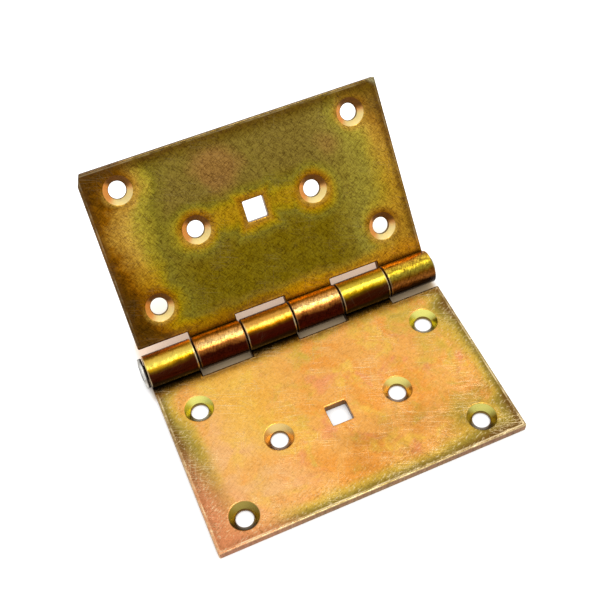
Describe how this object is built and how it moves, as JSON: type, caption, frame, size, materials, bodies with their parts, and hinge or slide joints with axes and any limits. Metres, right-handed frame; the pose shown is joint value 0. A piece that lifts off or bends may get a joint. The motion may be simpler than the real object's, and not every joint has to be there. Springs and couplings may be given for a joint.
{
  "type": "construction hinge",
  "caption": "Open construction hinge of sheet steel: broad leaves with rolled knuckles turn on a riveted pin, with countersunk screw holes and a square bolt hole in each leaf.",
  "frame": {"origin": "centre of the lower leaf's four corner screw holes, on the leaf's back face, which lies on Z = 0", "axes": "X along the hinge pin, from its head to its riveted tail; Y from the lower leaf's outer edge to the barrel; Z out of the lower leaf's countersunk front face"},
  "size_m": [0.1032, 0.111, 0.0535],
  "materials": {
    "lower_leaf": "yellow passivated zinc plate, iridescent, finely scratched",
    "upper_leaf": "yellow passivated zinc plate, iridescent, finely scratched",
    "hinge_pin": "zinc plate, bright where the ends were riveted"
  },
  "bodies": {
    "fixed_leaf": {"lower_leaf": "lower_leaf", "hinge_pin": "hinge_pin"},
    "moving_leaf": {"upper_leaf": "upper_leaf"}
  },
  "joints": [
    {"name": "leaf_hinge", "type": "hinge", "parent": "fixed_leaf", "child": "moving_leaf", "pos_m": [0, 0.0373, 0.00548], "axis": [1, 0, 0], "range_deg": [-150, 134]}
  ]
}
